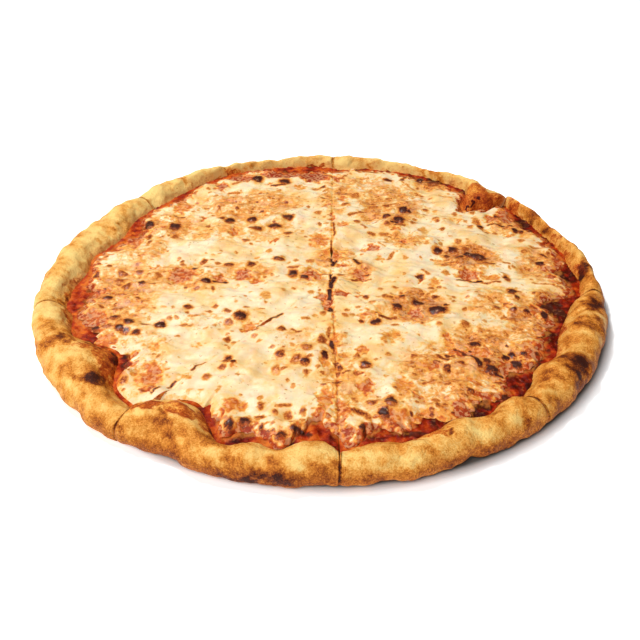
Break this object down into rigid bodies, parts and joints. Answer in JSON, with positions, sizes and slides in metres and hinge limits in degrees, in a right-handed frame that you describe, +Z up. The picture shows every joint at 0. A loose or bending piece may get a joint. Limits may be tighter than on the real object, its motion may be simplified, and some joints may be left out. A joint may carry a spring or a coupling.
{
  "type": "cheese pizza",
  "caption": "Round baked cheese pizza with a puffy browned rim, a band of bare tomato sauce inside it and blistered melted cheese, cut into slices that still lie together.",
  "frame": {"origin": "the middle of the pizza's outline, on the surface it lies on", "axes": "+Z up; -Y is the side of the rim that is nearest in the picture and +X its right"},
  "size_m": [0.355, 0.3604, 0.0186],
  "materials": {
    "crust": "matte",
    "sauce": "satin",
    "cheese": "satin"
  },
  "bodies": {
    "root": {"crust_1": "crust", "sauce_1": "sauce", "cheese_1": "cheese", "crust_2": "crust", "sauce_2": "sauce", "cheese_2": "cheese", "crust_3": "crust", "sauce_3": "sauce", "cheese_3": "cheese", "crust_4": "crust", "sauce_4": "sauce", "cheese_4": "cheese", "crust_5": "crust", "sauce_5": "sauce", "cheese_5": "cheese", "crust_6": "crust", "sauce_6": "sauce", "cheese_6": "cheese", "crust_7": "crust", "sauce_7": "sauce", "cheese_7": "cheese", "crust_8": "crust", "sauce_8": "sauce", "cheese_8": "cheese"}
  },
  "joints": []
}
